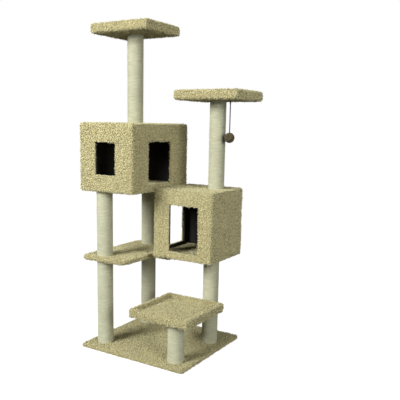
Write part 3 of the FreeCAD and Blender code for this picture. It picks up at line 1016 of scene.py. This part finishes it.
@dataclass
class Tray:
    """The carpet of a bed or perch: a wrapped board with a sunk middle."""

    carpeter: Carpeter
    name: str
    corner: float = 10.0 * MM
    edge: float = 8.0 * MM
    rail: float = 16.0 * MM

    def build(self) -> None:
        """Make the wrapped tray."""
        x, y, z = limits_of(self.name + "_carpet")
        board_top = limits_of(self.name + "_board")[2][1]
        drop = self.carpeter.backing_drop
        outline = rounded_rectangle(inset(x, drop), inset(y, drop), self.corner - drop / 2.0)
        body = slab(self.name + "_body", outline, inset(z, drop), self.edge)
        rim = CARPET + self.rail + CARPET - drop
        recess = rounded_rectangle(inset(x, rim), inset(y, rim), self.edge)
        floor = board_top + CARPET - drop
        hollow = slab("hollow", recess, (floor, z[1] + FAR))
        body = combined(body, "DIFFERENCE", hollow)
        self.carpeter.cover(body, self.name + "_carpet", lambda at, way: True)


@dataclass
class Condo:
    """The four carpets of a condo: wall strip, roof, underside and floor."""

    carpeter: Carpeter
    name: str
    openings: dict[str, str] = field(default_factory=dict)
    edge: float = 10.0 * MM
    corner_band: float = 15.0 * MM
    stated_margin: float = 3.0 * MM  # how much smaller the record's boxes are than the real openings
    turned_in: float = 5.0 * MM  # how far the strip's own cut stands back from an opening
    turned_depth: float = 11.0 * MM  # how deep the turned-in edge goes into the opening
    fringe: float = 4.7 * MM  # how far the turned-in backing stands back, with its pile reaching further
    lap: float = 0.2 * MM
    margin: float = 0.5 * MM

    def opening(self, stated: str) -> tuple[Limits, Limits]:
        """A door or window's limits across and up, from the record's box for it."""
        boxes = {item["name"]: item["box_m"] for item in frame["record"]["physics"]["openings"]}
        low, high = boxes[stated]
        across = 0 if self.openings[stated] == "front" else 1
        grow = -self.stated_margin
        return inset((low[across], high[across]), grow), inset((low[2], high[2]), grow)

    def hole(self, stated: str, grow: float, into: Limits) -> bpy.types.Object:
        """A cutter through one wall, larger by grow, between two depths from its outer face."""
        across, up = self.opening(stated)
        x, y, _ = limits_of(self.name + "_wall_carpet")
        side = self.openings[stated]
        if side == "front":
            return block(inset(across, -grow), (y[0] + into[0], y[0] + into[1]), inset(up, -grow))
        band = (x[0] + into[0], x[0] + into[1]) if side == "left" else (x[1] - into[1], x[1] - into[0])
        return block(band, inset(across, -grow), inset(up, -grow))

    def shell(self) -> bpy.types.Object:
        """The condo's whole outside, softened."""
        x, y, _ = limits_of(self.name + "_wall_carpet")
        z = (limits_of(self.name + "_underside_carpet")[2][0], limits_of(self.name + "_roof_carpet")[2][1])
        drop = self.carpeter.backing_drop
        radius = self.edge - drop / 2.0
        outline = rounded_rectangle(inset(x, drop), inset(y, drop), radius)
        return slab(self.name + "_shell", outline, inset(z, drop), radius)

    def build(self) -> None:
        """Make the four carpets."""
        x, y, seam = limits_of(self.name + "_wall_carpet")
        wide_x = inset(x, -FAR)
        wide_y = inset(y, -FAR)
        boards = (inset(x, CARPET), inset(y, CARPET), inset(seam, -FAR))
        centre = Vector((middle(x), middle(y), middle(seam)))
        drop = self.carpeter.backing_drop

        strip = combined(self.shell(), "INTERSECT", block(wide_x, wide_y, seam))
        through = CARPET + BOARD
        cuts = [self.hole(stated, self.turned_in, (-FAR, through)) for stated in self.openings]
        strip = combined(strip, "DIFFERENCE", block(*boards), *cuts)
        for stated in self.openings:
            lining = self.hole(stated, self.turned_in + self.lap, (drop, self.turned_depth))
            throat = self.hole(stated, self.fringe, (-FAR, through + FAR))
            strip = combined(strip, "UNION", combined(lining, "DIFFERENCE", throat))
        self.carpeter.cover(strip, self.name + "_wall_carpet", self.wall_test(centre))

        roof = combined(self.shell(), "INTERSECT", block(wide_x, wide_y, (seam[1], seam[1] + FAR)))
        self.carpeter.cover(roof, self.name + "_roof_carpet", lambda at, way: way.z > -0.5)
        under = combined(self.shell(), "INTERSECT", block(wide_x, wide_y, (seam[0] - FAR, seam[0])))
        self.carpeter.cover(under, self.name + "_underside_carpet", lambda at, way: way.z < 0.5)
        floor_x, floor_y, floor_z = limits_of(self.name + "_floor_carpet")
        floor = block(floor_x, floor_y, (floor_z[0], floor_z[1] - drop))
        self.carpeter.cover(floor, self.name + "_floor_carpet", lambda at, way: way.z > 0.5)

    def wall_test(self, centre: Vector) -> Test:
        """Which faces of the wall strip carry pile: the outside, and the turned-in edges."""
        x, y, _ = limits_of(self.name + "_wall_carpet")
        reach = self.turned_in + self.margin
        zones = []
        for stated, side in self.openings.items():
            across, up = self.opening(stated)
            zones.append((0 if side == "front" else 1, inset(across, -reach), inset(up, -reach)))

        def piled(at: Vector, way: Vector) -> bool:
            """Whether one face carries pile."""
            for axis, across, up in zones:
                inside = across[0] < at[axis] < across[1] and up[0] < at.z < up[1]
                if inside and abs(way[1 - axis]) < 0.5:
                    return True
            outwards = way.x * (at.x - centre.x) + way.y * (at.y - centre.y) > 0.0
            depth = min(at.x - x[0], x[1] - at.x, at.y - y[0], y[1] - at.y)
            return outwards and abs(way.z) < 0.9 and depth < self.corner_band

        return piled


@dataclass
class Posts:
    """The rope windings of every post."""

    wardrobe: Wardrobe
    tree: WindingTree
    rope_radius: float = 3.0 * MM
    bite: float = 4.0 * MM  # how far the winding goes into the pile at each end

    def build(self) -> None:
        """Wind each post, a little way into the pile at both ends."""
        for node in sorted(name for name in frame["nodes"] if name.endswith("_rope")):
            x, y, z = limits_of(node)
            piece = self.tree.run(node + "_winding", None, {
                "Post Radius": (x[1] - x[0]) / 2.0,
                "Rope Radius": self.rope_radius,
                "Length": z[1] - z[0] + 2.0 * self.bite,
                "Foot": (middle(x), middle(y), z[0] - self.bite),
                "Material": self.wardrobe.materials[Slot.ROPE],
            })
            self.wardrobe.place(piece, Slot.ROPE, FRAME_BODY, node)


@dataclass(frozen=True)
class StaplePlace:
    """Where one staple is: its rope, its height in metres and its bearing from the front in degrees."""

    rope: str
    height: float
    bearing: float


@dataclass
class Staples:
    """Small wire staples that hold the rope to its post."""

    wardrobe: Wardrobe
    crown: float = 7.0 * MM
    gauge: float = 1.1 * MM
    sunk: float = 2.0 * MM
    pressed: float = 0.4 * MM
    softening: float = 0.3 * MM
    places: tuple[StaplePlace, ...] = (
        StaplePlace("left_perch_post_rope", 1.686, -46.9),
        StaplePlace("left_perch_post_rope", 1.683, -2.1),
        StaplePlace("left_perch_post_rope", 1.683, 23.5),
        StaplePlace("left_perch_post_rope", 1.685, 78.8),
        StaplePlace("right_perch_post_rope", 1.074, 14.1),
        StaplePlace("bed_post_rope", 0.1435, 49.5),
    )

    def build(self) -> None:
        """Press every staple into its post as one piece."""
        shape = bmesh.new()
        bar = (self.crown, self.gauge, self.gauge)
        leg = (self.gauge, self.sunk, self.gauge)
        half = self.crown / 2.0 - self.gauge / 2.0
        deep = self.sunk / 2.0
        for place in self.places:
            x, y, _ = limits_of(place.rope)
            turn = Matrix.Translation((middle(x), middle(y), place.height))
            turn = turn @ Matrix.Rotation(math.radians(place.bearing), 4, "Z")
            face = (x[1] - x[0]) / 2.0 - self.pressed
            for side, depth, size in ((0.0, 0.0, bar), (-half, deep, leg), (half, deep, leg)):
                moved = Matrix.Translation((side, depth - face, 0.0))
                bmesh.ops.create_cube(shape, size=1.0, matrix=turn @ moved @ Matrix.Diagonal((*size, 1.0)))
        bmesh.ops.bevel(shape, geom=list(shape.edges), offset=self.softening, segments=2, profile=0.5,
                        affect="EDGES", clamp_overlap=True)
        mesh = bpy.data.meshes.new("rope_staples")
        shape.to_mesh(mesh)
        shape.free()
        piece = link(bpy.data.objects.new("rope_staples", mesh))
        self.wardrobe.place(piece, Slot.STEEL, FRAME_BODY)


@dataclass
class BallToy:
    """The knot, the hanging cord and the twine ball."""

    wardrobe: Wardrobe
    tree: BallTree
    loop_radius: float = 3.4 * MM
    loop_thickness: float = 1.2 * MM
    loop_steps: int = 24
    knot_radius: float = 5.5 * MM
    lobe: float = 1.3 * MM
    lobe_height: float = 4.29 * MM
    knot_steps: int = 48
    hold: float = 0.6 * MM  # how far the visual cord goes past its CAD length at each end

    def build(self) -> None:
        """Make the three pieces."""
        x, y, z = limits_of("toy_ball")
        ball = self.tree.run("twine_ball", None, {
            "Radius": (z[1] - z[0]) / 2.0,
            "Centre": (middle(x), middle(y), middle(z)),
            "Material": self.wardrobe.materials[Slot.BALL],
        })
        self.wardrobe.place(ball, Slot.BALL, "toy_ball", "toy_ball")
        knot = self.knot()
        self.wardrobe.place(knot, Slot.CORD, "toy_knot", "toy_knot")
        self.cord()

    def cord(self) -> None:
        """Hang the cord straight down from its knot."""
        x, y, z = limits_of("toy_cord")
        at = (middle(x), middle(y))
        top = z[1] + self.hold
        foot = z[0] - self.hold
        heights = [top, 0.75 * top + 0.25 * foot, 0.25 * top + 0.75 * foot, foot]
        curve = bpy.data.curves.new("toy_cord_line", "CURVE")
        curve.dimensions = "3D"
        spline = curve.splines.new("NURBS")
        spline.points.add(len(heights) - 1)
        for point, height in zip(spline.points, heights):
            point.co = (*at, height, 1.0)
        spline.order_u = 3
        spline.use_endpoint_u = True
        curve.bevel_depth = (x[1] - x[0]) / 2.0
        curve.bevel_resolution = 4
        curve.use_fill_caps = True
        piece = link(bpy.data.objects.new("toy_cord_line", curve))
        self.wardrobe.place(piece, Slot.CORD, "toy_cord", "toy_cord")

    def knot(self) -> bpy.types.Object:
        """A loop over the staple, tied in a small knot."""
        x, y, z = limits_of("toy_knot")
        at = Vector((middle(x), middle(y), z[1] - self.loop_radius - self.loop_thickness))
        low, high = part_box("toy_staple")
        along = Vector((high[0] - low[0], high[1] - low[1], 0.0)).normalized()
        across = Vector((along.y, -along.x, 0.0))
        up = Vector((0.0, 0.0, 1.0))
        loop = []
        for step in range(self.loop_steps):
            a = math.tau * step / self.loop_steps
            loop.append(at + self.loop_radius * (math.cos(a) * across + math.sin(a) * up))
        tie = Vector((at.x, at.y, z[0] + self.knot_radius))
        wraps = []
        for step in range(self.knot_steps):
            a = math.tau * step / self.knot_steps
            reach = self.lobe * (2.0 + math.cos(3.0 * a))
            flat = reach * math.cos(2.0 * a) * across + reach * math.sin(2.0 * a) * along
            wraps.append(tie + flat + self.lobe_height * math.sin(3.0 * a) * up)
        curve = bpy.data.curves.new("toy_knot_line", "CURVE")
        curve.dimensions = "3D"
        for points in (loop, wraps):
            spline = curve.splines.new("POLY")
            spline.points.add(len(points) - 1)
            for point, spot in zip(spline.points, points):
                point.co = (*spot, 1.0)
            spline.use_cyclic_u = True
        curve.bevel_depth = self.loop_thickness
        curve.bevel_resolution = 2
        host = link(bpy.data.objects.new("toy_knot_line", curve))
        piece = frozen(host, "tied_knot")
        bpy.data.objects.remove(host)
        return piece


@dataclass(frozen=True)
class Lamp:
    """A square soft light: its centre, side and power."""

    name: str
    place: tuple[float, float, float]
    size: float
    power: float
    colour: Colour


@dataclass
class Studio:
    """Floor, lights and camera."""

    eye: tuple[float, float, float] = (1.8839, -2.7637, 1.3052)
    yaw: float = 32.26
    pitch: float = 10.58
    roll: float = 0.96
    lens: float = 51.894
    sensor: float = 36.0
    shift: tuple[float, float] = (0.0425, 0.0822)
    backdrop: float = 1.0
    ambient: float = 0.07
    floor_half: float = 30.0
    floor_gap: float = 0.2 * MM
    floor_depth: float = 20.0 * MM
    lamps: tuple[Lamp, ...] = (
        Lamp("key", (-1.5, -4.3, 3.1), 2.2, 120.5, rgb(0.965, 0.985, 1.02)),
        Lamp("fill", (5.2, -2.3, 2.5), 3.0, 70.0, rgb(0.96, 0.99, 1.02)),
    )
    spread: float = 110.0
    aim_height: float = 1.45

    def build(self) -> None:
        """Set the stage."""
        self.floor()
        self.world()
        for lamp in self.lamps:
            self.light(lamp)
        self.camera()
        bpy.context.scene.view_settings.view_transform = "Standard"

    def floor(self) -> None:
        """A wide pale floor."""
        half = (-self.floor_half, self.floor_half)
        ground = block(half, half, (-self.floor_depth, -self.floor_gap))
        ground.name = "studio_floor"
        ground.data.materials.append(StageFinish("pale_floor", 1.0).build())

    def world(self) -> None:
        """A white backdrop with a softer ambient light."""
        world = bpy.data.worlds.new("studio")
        world.use_nodes = True
        world.node_tree.nodes.clear()
        graph = Graph(world.node_tree)
        white = rgb(1.0, 1.0, 1.0)
        seen = graph.add("ShaderNodeBackground", inputs={"Color": white, "Strength": self.backdrop})
        lit = graph.add("ShaderNodeBackground", inputs={"Color": white, "Strength": self.ambient})
        path = graph.add("ShaderNodeLightPath").outputs["Is Camera Ray"]
        both = graph.add("ShaderNodeMixShader", inputs={0: path, 1: lit.outputs[0], 2: seen.outputs[0]})
        graph.add("ShaderNodeOutputWorld", inputs={"Surface": both.outputs[0]})
        bpy.context.scene.world = world

    def light(self, lamp: Lamp) -> None:
        """Hang one light, with a grid, aimed at the tree's upper half."""
        source = bpy.data.lights.new(lamp.name, "AREA")
        source.size = lamp.size
        source.energy = lamp.power
        source.color = lamp.colour[:3]
        source.spread = math.radians(self.spread)
        holder = link(bpy.data.objects.new(lamp.name, source))
        holder.location = lamp.place
        aim = Vector((0.0, 0.0, self.aim_height)) - Vector(lamp.place)
        holder.rotation_euler = aim.to_track_quat("-Z", "Y").to_euler()

    def camera(self) -> None:
        """The camera, from its eye point, yaw, pitch and roll."""
        yaw, pitch, roll = (math.radians(angle) for angle in (self.yaw, self.pitch, self.roll))
        ahead = Vector((-math.sin(yaw), math.cos(yaw), 0.0))
        forward = math.cos(pitch) * ahead - math.sin(pitch) * Vector((0.0, 0.0, 1.0))
        level = Vector((math.cos(yaw), math.sin(yaw), 0.0))
        upright = level.cross(forward)
        right = math.cos(roll) * level + math.sin(roll) * upright
        above = right.cross(forward)
        lens = bpy.data.cameras.new("camera")
        lens.lens = self.lens
        lens.sensor_width = self.sensor
        lens.shift_x, lens.shift_y = self.shift
        lens.clip_end = 100.0
        eye = link(bpy.data.objects.new("camera", lens))
        turn = Matrix((right, above, -forward)).transposed().to_4x4()
        eye.matrix_world = Matrix.Translation(self.eye) @ turn
        bpy.context.scene.camera = eye


def main() -> None:
    """Build everything in order and note the sizes."""
    logging.basicConfig(level=logging.INFO, format="%(name)s: %(message)s")
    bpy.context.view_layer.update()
    Studio().build()
    wardrobe = Wardrobe()
    wardrobe.dress_frame()
    BallToy(wardrobe, BallTree()).build()
    carpeter = Carpeter(wardrobe, PileTree())
    Base(carpeter).build()
    Shelf(carpeter).build()
    for name in ("bed", "left_perch", "right_perch"):
        Tray(carpeter, name).build()
    Condo(carpeter, "upper_condo", {"upper_condo_window": "front", "upper_condo_door": "right"}).build()
    Condo(carpeter, "lower_condo", {"lower_condo_door": "front", "lower_condo_side_door": "left"}).build()
    Posts(wardrobe, WindingTree()).build()
    Staples(wardrobe).build()


if __name__ == "__main__":
    main()
